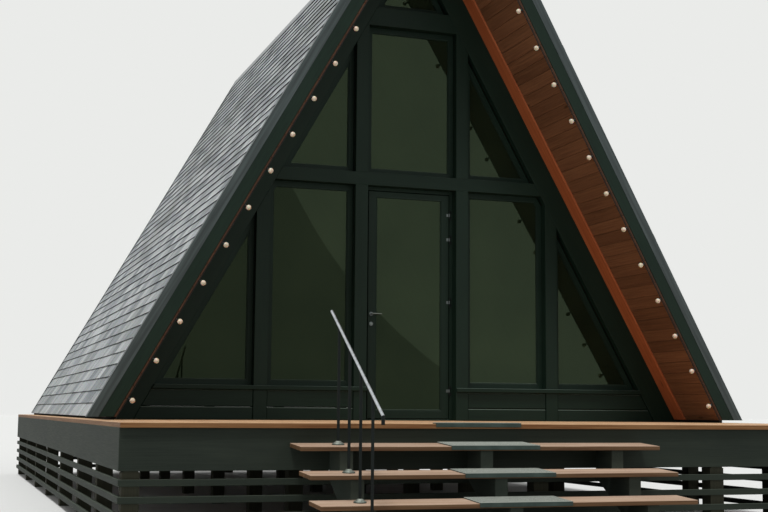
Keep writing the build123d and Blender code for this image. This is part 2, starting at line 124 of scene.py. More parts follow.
def shaded(material, inputs, wear=None, relief=None):
    # The shader over the patterns. wear: a pattern, its span, and the roughness at both ends of it.
    # relief: a pattern, its strength and its depth in metres.
    tree = material.node_tree
    if wear:
        inputs["Roughness"] = addNode(tree, "ShaderNodeMapRange", dict(enumerate(wear)))
    if relief:
        inputs["Normal"] = addNode(tree, "ShaderNodeBump", dict(zip(("Height", "Strength", "Distance"), relief)))
    shader = addNode(tree, "ShaderNodeBsdfPrincipled", inputs)
    addNode(tree, "ShaderNodeOutputMaterial", {"Surface": shader})
    return material


def layered(tree, under, over, source, low=0.0, high=1.0, least=0.0, most=1.0):
    # Lays one colour over another, more of it as a pattern goes from low to high.
    amount = addNode(tree, "ShaderNodeMapRange", {0: source, 1: low, 2: high, 3: least, 4: most})
    return addNode(tree, "ShaderNodeMix", {0: amount, 6: under, 7: over}, data_type="RGBA").outputs[2]


def facing(tree, axis):
    # How far a face looks along an axis: for Z, 1 when it looks straight up and 0 when it stands upright.
    normal = addNode(tree, "ShaderNodeNewGeometry").outputs["True Normal"]
    return addNode(tree, "ShaderNodeSeparateXYZ", {0: normal}).outputs[axis]


def boardTone(tree):
    # From 0 to 1, its own for each board or tab.
    return addNode(tree, "ShaderNodeAttribute", attribute_name="tone").outputs["Fac"]


# Turns that bring the grain onto local X, for pieces along an axis or down a side of the roof
grains = {
    "x": (0, 0, 0), "y": (0, 0, -math.pi / 2), "z": (0, math.pi / 2, 0),
    "right": (0, -slopeAngle, 0), "left": (0, slopeAngle, 0),
}
toneShift = (7.1, 3.7, 5.3)  # metres that a pattern moves by from the darkest board to the lightest


def pattern(tree, kind, size, inputs=None, grain=None, byTone=False, mirrored=False):
    # A texture sized in metres. With a grain it has three sizes, the first along it. byTone moves it from
    # board to board, and mirrored gives both sides of the roof the turn of the right one.
    place = addNode(tree, "ShaderNodeTexCoord").outputs["Object"]
    if mirrored:
        place = addNode(tree, "ShaderNodeVectorMath", {0: place}, operation="ABSOLUTE")
    if byTone:
        shift = addNode(tree, "ShaderNodeVectorMath", {0: toneShift, "Scale": boardTone(tree)}, operation="SCALE")
        place = addNode(tree, "ShaderNodeVectorMath", {0: place, 1: shift}, operation="ADD")
    if grain:
        place = addNode(tree, "ShaderNodeMapping", {"Vector": place, "Rotation": grains[grain]})
        place = addNode(tree, "ShaderNodeMapping", {"Vector": place, "Scale": tuple(1 / part for part in size)})
    scale = 1.0 if grain else 1 / size
    return addNode(tree, "ShaderNodeTex" + kind, {"Vector": place, "Scale": scale, **(inputs or {})})


# Materials

def paintedTimber(name, setup, grain):
    # Softwood under a satin exterior paint: an even dark film in which the grain still stands up a little.
    material, tree = newMaterial(name)
    fine = pattern(tree, "Noise", (0.30, 0.006, 0.006), {"Detail": 4.0, "Roughness": 0.6}, grain)
    broad = pattern(tree, "Noise", (0.9, 0.25, 0.25), {"Detail": 3.0}, grain)
    body = layered(tree, setup["dark"], setup["light"], fine, 0.3, 0.7)
    body = layered(tree, body, setup["faded"], broad, 0.35, 0.75, most=setup["dust"])
    body = layered(tree, body, setup["dustAndHighlight"], facing(tree, "Z"), 0.4, 0.8)  # dust and a painted highlight lie on what looks up
    return shaded(material, {"IOR": 1.5, "Specular IOR Level": setup["gloss"], "Base Color": body},
                  (fine, 0.3, 0.7, setup["rough"] - 0.06, setup["rough"] + 0.08), (fine, 0.25, 0.0006))


def oiledBoards(name, setup, grain):
    # Planed softwood boards, oiled: growth rings drawn out along the board, a few knots, each board its own tone.
    # Upright and downward faces have the side colour multiplied in as painted shade, and sawn ends take up more oil.
    material, tree = newMaterial(name)
    warp = pattern(tree, "Noise", (1.1, 0.09, 0.09), {"Detail": 2.0}, grain, byTone=True)
    growth = {"Detail": 3.0, "Roughness": 0.55, "Distortion": 0.6}
    rings = pattern(tree, "Noise", (0.55, 0.012, 0.012), growth, grain, byTone=True)
    pores = pattern(tree, "Noise", (0.06, 0.0018, 0.0018), {"Detail": 2.0}, grain, byTone=True)
    knots = pattern(tree, "Voronoi", (0.65, 0.16, 0.16), None, grain, byTone=True).outputs["Distance"]
    body = layered(tree, setup["dark"], setup["light"], rings, 0.36, 0.66)
    body = layered(tree, body, setup["middle"], warp, 0.3, 0.7, most=0.55)
    body = layered(tree, body, setup["knot"], knots, 0.03, 0.10, 0.75, 0.0)
    body = layered(tree, body, setup["knot"], pores, 0.55, 0.75, most=0.35)
    # painted shade: faces that do not look up take the side colour multiplied in
    paintedShadeSides = addNode(tree, "ShaderNodeMix", {0: 1.0, 6: body, 7: setup["side"]}, data_type="RGBA", blend_type="MULTIPLY")
    body = layered(tree, paintedShadeSides.outputs[2], body, facing(tree, "Z"), 0.2, 0.9)
    endAxis = {"x": "X", "y": "Y"}.get(grain, "Z")  # boards down the gable end level
    sawn = addNode(tree, "ShaderNodeMath", {0: facing(tree, endAxis)}, operation="ABSOLUTE")
    sawn = addNode(tree, "ShaderNodeMapRange", {0: sawn, 1: 0.55, 2: 0.7, 3: 1.0, 4: setup["ends"]})
    shade = addNode(tree, "ShaderNodeMapRange", {0: boardTone(tree), 3: setup["spread"][0], 4: setup["spread"][1]})
    shade = addNode(tree, "ShaderNodeMath", {0: shade, 1: sawn}, operation="MULTIPLY")
    body = addNode(tree, "ShaderNodeVectorMath", {0: body, "Scale": shade}, operation="SCALE")
    height = addNode(tree, "ShaderNodeMath", {0: rings, 1: pores}, operation="ADD")
    return shaded(material, {"IOR": 1.5, "Specular IOR Level": setup["gloss"], "Base Color": body},
                  (pores, 0.3, 0.8, setup["rough"], setup["rough"] + 0.2), (height, 0.35, 0.0008))


def mineralShingle(name, setup):
    # Bitumen shingle faced with crushed slate: matt grey granules, each tab its own mix, darker where water
    # lingers, and black bitumen on the cut edges.
    material, tree = newMaterial(name)
    granules = pattern(tree, "Voronoi", setup["grit"])
    patches = pattern(tree, "Noise", 0.35, {"Detail": 4.0})
    stains = pattern(tree, "Noise", 1.6, {"Detail": 3.0})
    body = layered(tree, setup["dark"], setup["light"], boardTone(tree))
    body = layered(tree, body, setup["middle"], patches, 0.35, 0.65, most=0.5)
    gritty = addNode(tree, "ShaderNodeMix", {0: 0.35, 6: body, 7: granules.outputs["Color"]},
                     data_type="RGBA", blend_type="SOFT_LIGHT")
    body = layered(tree, gritty.outputs[2], setup["moss"], stains, 0.48, 0.72, most=0.4)
    sideways = addNode(tree, "ShaderNodeMath", {0: facing(tree, "X")}, operation="ABSOLUTE")
    sideways = addNode(tree, "ShaderNodeMath", {0: sideways, 1: math.sin(slopeAngle)}, operation="MULTIPLY")
    outwards = addNode(tree, "ShaderNodeMath", {0: facing(tree, "Z"), 1: math.cos(slopeAngle), 2: sideways},
                       operation="MULTIPLY_ADD")
    body = layered(tree, setup["bitumen"], body, outwards, 0.5, 0.9)
    return shaded(material, {"IOR": 1.5, "Specular IOR Level": 0.25, "Roughness": 0.92, "Base Color": body},
                  relief=(granules.outputs["Distance"], 0.6, 0.0015))


def coatedSteel(name, setup, grain):
    # Folded sheet with a baked coat: smooth, a soft sheen, faint streaks where rain runs down it.
    material, tree = newMaterial(name)
    streaks = pattern(tree, "Noise", (0.9, 0.03, 0.03), {"Detail": 4.0}, grain, mirrored=True)
    dents = pattern(tree, "Noise", (0.6, 0.15, 0.15), {"Detail": 1.0}, grain, mirrored=True)
    body = layered(tree, setup["dark"], setup["light"], streaks, 0.35, 0.7)
    look = {"IOR": 1.5, "Metallic": setup["metallic"], "Specular IOR Level": setup["gloss"], "Base Color": body}
    return shaded(material, look, (streaks, 0.3, 0.7, setup["rough"], setup["rough"] + 0.15), (dents, 0.3, 0.002))


def drawnSteel(name, setup, grain):
    # Stainless tube and lever ware, satin ground: bright grey metal with fine lines along the piece.
    # Faces that look down take a darker colour: painted shade and painted dark reflection.
    material, tree = newMaterial(name)
    lines = pattern(tree, "Noise", (0.12, 0.0012, 0.0012), {"Detail": 3.0}, grain)
    marks = pattern(tree, "Noise", 0.03, {"Detail": 4.0})
    body = layered(tree, setup["dark"], setup["light"], marks, 0.3, 0.7)
    # painted shade and reflection: downward faces take the under-shade colour
    body = layered(tree, setup["underShade"], body, facing(tree, "Z"), *setup["underShadeSpan"])
    return shaded(material, {"Metallic": 1.0, "Base Color": body},
                  (lines, 0.3, 0.7, setup["rough"], setup["rough"] + 0.14), (lines, 0.15, 0.0002))


def mouldedBlack(name, setup):
    # Enamel, rubber or moulded plastic in black or grey: an even body with a fine skin and a little dust.
    # What looks up is painted lighter, as painted light from above.
    material, tree = newMaterial(name)
    skin = pattern(tree, "Noise", setup["skin"], {"Detail": 3.0})
    dust = pattern(tree, "Noise", 0.08, {"Detail": 5.0})
    body = layered(tree, setup["dark"], setup["light"], dust, 0.4, 0.75)
    # painted light: faces that look up take the top colour, or the light one where none is given
    body = layered(tree, body, setup.get("top", setup["light"]), facing(tree, "Z"), 0.3, 0.9)
    return shaded(material, {"IOR": 1.5, "Specular IOR Level": setup["gloss"], "Base Color": body},
                  (dust, 0.3, 0.7, setup["rough"], setup["rough"] + 0.15), (skin, 0.3, 0.0005))


def glassware(name, setup, look):
    # Float glass with a dark green body and green-tinted reflections, painted shade and painted reflection, under a
    # little dust. The globes' opal glass is milky and warm.
    material, tree = newMaterial(name)
    cloud = pattern(tree, "Noise", setup["cloud"], {"Detail": setup["detail"]})
    body = layered(tree, setup["dark"], setup["light"], cloud, 0.3, 0.7)
    return shaded(material, {**look, "Base Color": body})


# dustAndHighlight: the pale colour on faces that look up, part dust and part painted highlight on upward edges
framePaint = {"dark": "#0c1913", "light": "#15251c", "faded": "#1f2f26", "dustAndHighlight": "#5c685f",
              "dust": 0.3, "rough": 0.5, "gloss": 0.12}
skirtPaint = {"dark": "#1b211c", "light": "#252b25", "faded": "#32382f", "dustAndHighlight": "#434a41",
              "dust": 0.45, "rough": 0.65, "gloss": 0.1}
stringerPaint = {"dark": "#252b26", "light": "#333a34", "faded": "#40463e", "dustAndHighlight": "#4c5248",
                 "dust": 0.5, "rough": 0.7, "gloss": 0.1}
# weathered grey timber, set darker as painted shade for the space under the deck
rawTimber = {"dark": "#282921", "light": "#3e3d32", "faded": "#34352c", "dustAndHighlight": "#3e3d32",
             "dust": 0.6, "rough": 0.85, "gloss": 0.1}
soffitStain = {"dark": "#61402b", "middle": "#6e4932", "light": "#7d553a", "knot": "#38220f", "side": "#ffffff",
               "spread": (0.8, 1.15), "ends": 0.3, "rough": 0.5, "gloss": 0.2}
trimStain = {"dark": "#9c5230", "middle": "#aa5c36", "light": "#b96a40", "knot": "#5c2c14", "side": "#ffffff",
             "spread": (0.94, 1.06), "ends": 0.6, "rough": 0.45, "gloss": 0.25}
# side: the colour multiplied into upright and downward faces, painted shade
deckOil = {"dark": "#a87c54", "middle": "#c29a74", "light": "#d8b894", "knot": "#6a4630", "side": "#9a866c",
           "spread": (0.82, 1.08), "ends": 0.8, "rough": 0.55, "gloss": 0.2}
treadOil = {"dark": "#967660", "middle": "#ae947c", "light": "#c6b09c", "knot": "#5e4434", "side": "#80705a",
            "spread": (0.85, 1.08), "ends": 1.1, "rough": 0.6, "gloss": 0.2}

paints = {grain: paintedTimber("frame_paint_" + grain, framePaint, grain) for grain in ("x", "z", "right", "left")}
skirts = {grain: paintedTimber("skirt_paint_" + grain, skirtPaint, grain) for grain in ("x", "y")}
timbers = {grain: paintedTimber("raw_timber_" + grain, rawTimber, grain) for grain in grains}
stringerTimber = paintedTimber("stringer_timber_painted", stringerPaint, "y")
soffit = oiledBoards("roof_boards_stained", soffitStain, "y")
trims = {label: oiledBoards("gable_trim_" + label, trimStain, label) for label in roofSides}
deckWood = oiledBoards("deck_boards_oiled", deckOil, "y")
nosingWood = oiledBoards("nosing_boards_oiled", deckOil, "x")
treadWood = oiledBoards("tread_boards_worn", treadOil, "x")
shingle = mineralShingle("mineral_shingle", {
    "dark": "#6c7174", "middle": "#93979a", "light": "#b6baba", "moss": "#656a5e", "bitumen": "#1c1e1f",
    "grit": 0.005,  # 2 mm grit, drawn at 5 mm
})
edgeSteel = coatedSteel("edge_metal_coated", {
    "dark": "#2c3434", "light": "#414a4a", "rough": 0.42, "metallic": 0.0, "gloss": 0.25}, "right")
ridgeSteel = coatedSteel("ridge_metal_zinc", {
    "dark": "#7a7d80", "light": "#96999b", "rough": 0.4, "metallic": 0.6, "gloss": 0.5}, "y")
# underShade and underShadeSpan: the darker colour of downward faces and where it gives way, painted shade
railSteel = drawnSteel("rail_steel_satin", {
    "dark": "#b0b4b8", "light": "#d0d4d8", "underShade": "#34383a", "underShadeSpan": (-0.35, 0.3), "rough": 0.26}, "y")
hingeSteel = drawnSteel("hinge_steel_dark", {
    "dark": "#5a6060", "light": "#7c8280", "underShade": "#454a4a", "underShadeSpan": (-0.5, 0.5), "rough": 0.35}, "z")
lockSteel = drawnSteel("lock_steel_satin", {
    "dark": "#90958f", "light": "#aab0a8", "underShade": "#4a504c", "underShadeSpan": (-0.2, 0.6), "rough": 0.28}, "x")
flangeZinc = drawnSteel("flange_cast_zinc", {
    "dark": "#7c827a", "light": "#979c94", "underShade": "#4c524c", "underShadeSpan": (0.0, 0.6), "rough": 0.45}, "x")
screwSteel = drawnSteel("screw_steel_bright", {
    "dark": "#84827c", "light": "#a8a6a0", "underShade": "#54524e", "underShadeSpan": (0.0, 0.6), "rough": 0.3}, "x")
underlay = mouldedBlack("bitumen_underlay", {
    "dark": "#2a2c2d", "light": "#3a3c3c", "skin": 0.004, "rough": 0.8, "gloss": 0.2})
# the mats' pale top colour is painted light on their upward faces
matRubber = mouldedBlack("mat_rubber", {
    "dark": "#2c3834", "light": "#3a4642", "top": "#a3a79e", "skin": 0.002, "rough": 0.7, "gloss": 0.2})
postEnamel = mouldedBlack("post_enamel_black", {
    "dark": "#0c1110", "light": "#141a18", "skin": 0.003, "rough": 0.5, "gloss": 0.12})
lampBlack = mouldedBlack("lamp_rubber_black", {
    "dark": "#0e0f10", "light": "#1c1e1e", "skin": 0.002, "rough": 0.5, "gloss": 0.3})
foamBlack = mouldedBlack("seal_foam_black", {
    "dark": "#151716", "light": "#232625", "skin": 0.003, "rough": 0.85, "gloss": 0.1})
# dark green body and green specular tint: painted shade and painted reflection
pane = glassware("float_glass", {"dark": "#1c261b", "light": "#2b3626", "cloud": 0.6, "detail": 3.0}, {
    "IOR": 1.52, "Transmission Weight": 0.55, "Specular IOR Level": 0.06, "Roughness": 0.0,
    "Specular Tint": "#b8d4a8"})
globeGlass = glassware("globe_opal_glass", {"dark": "#d2bfa4", "light": "#eaddca", "cloud": 0.02, "detail": 2.0}, {
    "IOR": 1.5, "Transmission Weight": 0.25, "Roughness": 0.25, "Subsurface Weight": 0.3, "Subsurface Scale": 0.01})
print("stage: materials", len(bpy.data.materials))


# Mesh helpers

meshSetup = {
    "weld": 0.00002, "cut": 0.000001,  # metres
    "flat": 1, "sharp": 30, "smooth": 40,  # degrees: faces joined, edges eased, edges shaded sharp
}


def toMesh(bm):
    mesh = bpy.data.meshes.new("shape")
    bm.to_mesh(mesh)
    bm.free()
    return mesh


def toBmesh(mesh):
    bm = bmesh.new()
    bm.from_mesh(mesh)
    return bm


def joinMeshes(meshes):
    joined = bmesh.new()
    for mesh in meshes:
        joined.from_mesh(mesh)
    return toMesh(joined)


def finishPiece(name, shape, material, body="cabin", replaced=(), smooth=False):
    mesh = shape if isinstance(shape, bpy.types.Mesh) else toMesh(shape)
    mesh.name = name
    mesh.materials.clear()
    mesh.materials.append(material)
    if smooth:
        mesh.shade_smooth()
        mesh.set_sharp_from_angle(angle=math.radians(meshSetup["smooth"]))
    piece = bpy.data.objects.new(name, mesh)
    bpy.context.scene.collection.objects.link(piece)
    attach(piece, body)
    if replaced:
        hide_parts(*replaced)


def nodeCopy(node):
    # The CAD node's mesh with its loose triangles joined and its flat faces made whole.
    bm = toBmesh(cadNodes[node].data)
    bmesh.ops.remove_doubles(bm, verts=bm.verts, dist=meshSetup["weld"])
    bmesh.ops.dissolve_limit(bm, angle_limit=math.radians(meshSetup["flat"]), verts=bm.verts, edges=bm.edges)
    return bm


def islandsOf(bm):
    # Lists of vertices, one for each separate solid.
    left, islands = set(bm.verts), []
    while left:
        todo, island = [left.pop()], []
        while todo:
            vert = todo.pop()
            island.append(vert)
            for edge in vert.link_edges:
                other = edge.other_vert(vert)
                if other in left:
                    left.remove(other)
                    todo.append(other)
        islands.append(island)
    return islands


def halfOf(node, side):
    # The solids of a node that stand on one side of the middle.
    bm = nodeCopy(node)
    bmesh.ops.delete(bm, geom=[vert for vert in bm.verts if vert.co.x * side < 0], context="VERTS")
    return bm


def easeEdges(bm, width, segments=1):
    sharp = math.radians(meshSetup["sharp"])
    edges = [edge for edge in bm.edges if len(edge.link_faces) == 2 and edge.calc_face_angle(0) > sharp]
    bmesh.ops.bevel(bm, geom=edges, offset=width, segments=segments, profile=0.5, affect="EDGES", clamp_overlap=True)
    return bm


def cutOff(bm, point, outward):
    # Removes what lies beyond the plane and closes the cut.
    whole = bm.verts[:] + bm.edges[:] + bm.faces[:]
    bmesh.ops.bisect_plane(bm, geom=whole, dist=meshSetup["cut"], plane_co=point, plane_no=outward, clear_outer=True)
    bmesh.ops.holes_fill(bm, edges=[edge for edge in bm.edges if edge.is_boundary], sides=0)
    return bm


def joinBoards(boards, seed):
    # One mesh of several boards, each with a tone of its own.
    rng = random.Random(seed)
    tones = [tone for board in boards for tone in [rng.random()] * len(board.verts)]
    mesh = joinMeshes([toMesh(board) for board in boards])
    mesh.attributes.new("tone", "FLOAT", "POINT").data.foreach_set("value", tones)
    return mesh


def boardsFromNode(name, node, material, setup, across, seed, within=()):
    # Saws a CAD panel into boards: across is the direction that the boards follow each other in.
    # within holds planes, a point and an outward direction each, that the panel is cut to first.
    source, boards = nodeCopy(node), []
    for point, outward in within:
        cutOff(source, point, outward)
    reach = [across.dot(vert.co) for vert in source.verts]
    first, last = min(reach) + setup.get("start", 0.0), max(reach)
    count, pitch = math.ceil((last - first) / setup["pitch"]), setup["pitch"]
    if setup.get("fit", True):
        count = max(1, round((last - first) / pitch))
        pitch = (last - first) / count
    for place in range(-1 if "start" in setup else 0, count):
        low, high = first + pitch * place + setup["gap"] / 2, first + pitch * (place + 1) - setup["gap"] / 2
        board = cutOff(source.copy(), across * low, -across)
        if board.verts:
            cutOff(board, across * high, across)
        if board.verts:
            boards.append(easeEdges(board, setup["ease"], setup.get("segments", 1)))
    source.free()
    finishPiece(name, joinBoards(boards, seed), material, replaced=(node,))


def blockMesh(size, ease, turn=Matrix(), segments=1):
    # A block with eased edges round the origin, for the tree that repeats it.
    bm = bmesh.new()
    bmesh.ops.create_cube(bm, size=1.0)
    bmesh.ops.scale(bm, vec=size, verts=bm.verts)
    easeEdges(bm, ease, segments)
    bmesh.ops.transform(bm, matrix=turn, verts=bm.verts)
    return toMesh(bm)


def turnedMesh(profile, sides, axis, place=(0, 0, 0)):
    # A lathe-turned piece: profile gives radius and height pairs along the axis, from end to end.
    bm, rings = bmesh.new(), []
    turns = [2 * math.pi * k / sides for k in range(sides)]
    for radius, height in profile:
        rings.append([bm.verts.new((radius * math.cos(turn), radius * math.sin(turn), height)) for turn in turns])
    for lower, upper in zip(rings, rings[1:]):
        for k in range(sides):
            after = (k + 1) % sides
            bm.faces.new((lower[k], lower[after], upper[after], upper[k]))
    bm.faces.new(rings[-1])
    bm.faces.new(reversed(rings[0]))
    bmesh.ops.transform(bm, matrix=axis.to_track_quat("Z", "Y").to_matrix().to_4x4(), verts=bm.verts)
    bmesh.ops.recalc_face_normals(bm, faces=bm.faces)
    mesh = toMesh(bm)
    mesh.transform(Matrix.Translation(place))
    return mesh


def bar(start, end, radius, sides, ease=0.0):
    # A round bar between two points, its ends eased.
    length = (end - start).length
    profile = [(radius, ease), (radius, length - ease)]
    if ease:
        profile = [(radius - ease, 0.0)] + profile + [(radius - ease, length)]
    return turnedMesh(profile, sides, end - start, start)


# Rows and columns of one piece, made by Geometry Nodes

def buildRowsTree():
    tree = bpy.data.node_groups.new("rowsOfPieces", "GeometryNodeTree")
    face = tree.interface
    face.new_socket("Geometry", in_out="OUTPUT", socket_type="NodeSocketGeometry")
    kinds = {"Piece": "Object", "Finish": "Material", "Columns": "Int", "Rows": "Int", "Seed": "Int", "First": "Vector",
             "Column Step": "Vector", "Row Step": "Vector", "Odd Row Shift": "Vector", "Scatter": "Vector"}
    for name, kind in kinds.items():
        face.new_socket(name, in_out="INPUT", socket_type="NodeSocket" + kind)
    given = addNode(tree, "NodeGroupInput").outputs
    total = addNode(tree, "ShaderNodeMath", {0: given["Columns"], 1: given["Rows"]}, operation="MULTIPLY")
    points = addNode(tree, "GeometryNodePoints", {"Count": total})
    index = addNode(tree, "GeometryNodeInputIndex")
    ratio = addNode(tree, "ShaderNodeMath", {0: index, 1: given["Rows"]}, operation="DIVIDE")
    column = addNode(tree, "ShaderNodeMath", {0: ratio}, operation="FLOOR")
    row = addNode(tree, "ShaderNodeMath", {0: index, 1: given["Rows"]}, operation="MODULO")
    odd = addNode(tree, "ShaderNodeMath", {0: row, 1: 2.0}, operation="MODULO")
    spread = addNode(tree, "FunctionNodeRandomValue", {0: (-1, -1, -1), 1: (1, 1, 1), "Seed": given["Seed"]},
                     data_type="FLOAT_VECTOR")
    scatter = addNode(tree, "ShaderNodeVectorMath", {0: spread, 1: given["Scatter"]}, operation="MULTIPLY")
    place = given["First"]
    for step, factor in (("Column Step", column), ("Row Step", row), ("Odd Row Shift", odd)):
        part = addNode(tree, "ShaderNodeVectorMath", {0: given[step], "Scale": factor}, operation="SCALE")
        place = addNode(tree, "ShaderNodeVectorMath", {0: place, 1: part}, operation="ADD")
    place = addNode(tree, "ShaderNodeVectorMath", {0: place, 1: scatter}, operation="ADD")
    moved = addNode(tree, "GeometryNodeSetPosition", {"Geometry": points, "Position": place})
    source = addNode(tree, "GeometryNodeObjectInfo", {"Object": given["Piece"], "As Instance": True})
    copies = addNode(tree, "GeometryNodeInstanceOnPoints", {"Points": moved, "Instance": source.outputs["Geometry"]})
    tone = addNode(tree, "FunctionNodeRandomValue", {"Seed": given["Seed"]}, data_type="FLOAT").outputs[1]
    stored = addNode(tree, "GeometryNodeStoreNamedAttribute", {"Geometry": copies, "Name": "tone", "Value": tone},
                     data_type="FLOAT", domain="INSTANCE")
    real = addNode(tree, "GeometryNodeRealizeInstances", {"Geometry": stored})
    finished = addNode(tree, "GeometryNodeSetMaterial", {"Geometry": real, "Material": given["Finish"]})
    addNode(tree, "NodeGroupOutput", {0: finished})
    return tree


rowsTree = buildRowsTree()


def rowsOf(mesh, material, setup):
    # Runs the tree on one piece and gives the result back as a plain mesh.
    template = bpy.data.objects.new("template", mesh)
    carrier = bpy.data.objects.new("carrier", bpy.data.meshes.new("carrier"))
    for each in (template, carrier):
        bpy.context.scene.collection.objects.link(each)
    modifier = carrier.modifiers.new("rows", "NODES")
    modifier.node_group = rowsTree
    none = (0, 0, 0)
    given = {"Piece": template, "Finish": material, "Columns": 1, "Rows": 1, "Seed": 1, "Column Step": none,
             "Row Step": none, "Odd Row Shift": none, "Scatter": none, **setup}
    for item in rowsTree.interface.items_tree:
        if item.in_out == "INPUT":
            value = given[item.name]
            isVector = isinstance(value, (tuple, Vector))
            modifier[item.identifier] = [float(part) for part in value] if isVector else value
    bpy.context.view_layer.update()
    evaluated = carrier.evaluated_get(bpy.context.evaluated_depsgraph_get())
    result = bpy.data.meshes.new_from_object(evaluated)
    carrier.modifiers.remove(modifier)
    for each in (carrier, template):
        bpy.data.objects.remove(each)
    return result


# Roof directions

def downSlope(side):
    return Vector((side * math.cos(slopeAngle), 0, -math.sin(slopeAngle)))


def outOfSlope(side):
    return Vector((side * math.sin(slopeAngle), 0, math.cos(slopeAngle)))


def slopePoint(side, along, offset, y):
    return Vector((0, y, apexHeight)) + downSlope(side) * along + outOfSlope(side) * offset


def vergeY(height, inward):
    return inward - cabin["vergeOut"] - cabin["vergeLean"] * (height - cabin["vergeHeight"])


def trimToVerges(mesh, inward):
    # Cuts what runs along the roof to the leaning planes of both verges.
    lean = Vector((0, -1, -cabin["vergeLean"])).normalized()
    point = Vector((0, inward - cabin["vergeOut"], cabin["vergeHeight"]))
    bm = cutOff(toBmesh(mesh), point, lean)
    return cutOff(bm, Vector((0, cabin["length"] - point.y, point.z)), Vector((0, -lean.y, lean.z)))


# Roof covering

shingles = {
    "exposure": 0.143,
    "tab": 0.333,
    "slot": 0.010,  # cut-out between two tabs
    "headLap": 0.012,  # under the course above
    "thick": 0.007,
    "ease": 0.0012,
    "lift": 0.0125,  # the lower edge of a tab over the course below it
    "clear": 0.001,  # between a tab and the one below it
    "underlay": 0.0685,  # offset of the sheathing's face from the lining
    "inward": 0.088,  # verge face to the first tab
    "footAlong": 5.893,
    "overRidge": 0.13,  # how far the rows may run past the peak
    "spare": 0.4,  # cut off at the verges
    "scatter": (0.0012, 0.003, 0.0008),
    "seed": 11,
}


def makeShingles(side, label):
    down, across = downSlope(side), Vector((0, -side, 0))
    basis = Matrix((across, down, outOfSlope(side))).transposed().to_4x4()
    tilt = Matrix.Rotation(math.atan2(shingles["lift"] - shingles["clear"], shingles["exposure"]), 4, "X")
    size = (shingles["tab"] - shingles["slot"], shingles["exposure"] + shingles["headLap"], shingles["thick"])
    tab = blockMesh(size, shingles["ease"], basis @ tilt)
    span = cabin["length"] + 2 * cabin["vergeOut"] + shingles["spare"]
    columns = int(span / shingles["tab"]) + 2
    start = slopePoint(side, shingles["footAlong"] - shingles["exposure"] / 2,
                       shingles["underlay"] + shingles["lift"] / 2, cabin["length"] / 2)
    mesh = rowsOf(tab, shingle, {
        "Columns": columns,
        "Rows": int((shingles["footAlong"] + shingles["overRidge"]) / shingles["exposure"]),
        "Seed": shingles["seed"] + side,
        "First": start - across * shingles["tab"] * columns / 2,
        "Column Step": across * shingles["tab"],
        "Row Step": -down * shingles["exposure"],
        "Odd Row Shift": across * shingles["tab"] / 2,
        "Scatter": shingles["scatter"],
    })
    finishPiece("roofing_tabs_" + label, trimToVerges(mesh, shingles["inward"]), shingle,
                replaced=("roofing_" + label,))
    slab = cutOff(nodeCopy("roofing_" + label), slopePoint(side, 0, shingles["underlay"], 0), outOfSlope(side))
    finishPiece("roofing_sheathing_" + label, slab, underlay)


for label, side in roofSides.items():
    makeShingles(side, label)
print("stage: shingles")

soffitBoards = {"pitch": 0.120, "gap": 0.0012, "ease": 0.004, "fit": False, "seed": 21}

for label, side in roofSides.items():
    boardsFromNode("soffit_boards_" + label, "roof_boards_" + label, soffit, soffitBoards,
                   downSlope(side), soffitBoards["seed"] + side)
print("stage: soffit boards")


# Black foam strips that close the joint under the roof boards

eaveSeal = {
    "inner": 0.0195,  # offset of the rafters' outer face
    "width": 0.036, "gap": 0.025, "clear": 0.001, "ease": 0.005, "inward": 0.03,
}


def makeEaveSeals():
    strips = []
    size = (eaveSeal["width"], cabin["length"] + 4 * cabin["vergeOut"], eaveSeal["gap"] - eaveSeal["clear"])
    inner = cabin["halfWidth"] - eaveSeal["gap"] / math.tan(slopeAngle) + eaveSeal["inner"] / math.sin(slopeAngle)
    for side in roofSides.values():
        strip = blockMesh(size, eaveSeal["ease"], segments=2)
        x = side * (inner + eaveSeal["width"] / 2)
        strip.transform(Matrix.Translation((x, cabin["length"] / 2, cabin["deckTop"] + eaveSeal["gap"] / 2)))
        bm = trimToVerges(strip, eaveSeal["inward"])
        strips.append(toMesh(cutOff(bm, slopePoint(side, 0, eaveSeal["inner"], 0), -outOfSlope(side))))
    finishPiece("eave_seals", joinMeshes(strips), foamBlack)


makeEaveSeals()
print("stage: eave seals")


# Boards of the platform, the floor and the walls

deckBoards = {"pitch": 0.1491, "gap": 0.005, "ease": 0.003, "segments": 2, "nosing": 0.145}
nosingBoard = {"pitch": 10.0, "gap": 0.0, "ease": 0.003, "segments": 2}  # in one length
wallBoards = {"pitch": 0.156, "gap": 0.004, "ease": 0.007, "fit": False, "start": -0.038}
backBoards = {"pitch": 0.140, "gap": 0.003, "ease": 0.004, "fit": False}

deckLow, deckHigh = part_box("deck_boards")
frontJoint, backJoint = deckLow + back * deckBoards["nosing"], deckHigh + front * deckBoards["nosing"]
betweenJoints = ((frontJoint + back * deckBoards["gap"], front), (backJoint + front * deckBoards["gap"], back))
for name, node, wood, setup, seed, within in (
    ("platform_boards", "deck_boards", deckWood, deckBoards, 31, betweenJoints),
    ("nosing_board_front", "deck_boards", nosingWood, nosingBoard, 36, ((frontJoint, back),)),
    ("nosing_board_back", "deck_boards", nosingWood, nosingBoard, 37, ((backJoint, front),)),
    ("floor_planks", "cabin_floor", deckWood, deckBoards, 32, ()),
):
    boardsFromNode(name, node, wood, setup, right, seed, within)
for name, node, setup, seed in (
    ("low_wall_boards_right", "low_wall_right", wallBoards, 33),
    ("low_wall_boards_left", "low_wall_left", wallBoards, 34),
    ("back_wall_boards", "back_wall", backBoards, 35),
):
    boardsFromNode(name, node, paints["x"], setup, up, seed)
print("stage: deck, floor and wall boards")


# Timbers and painted boards with eased edges, in place of the sharp solids

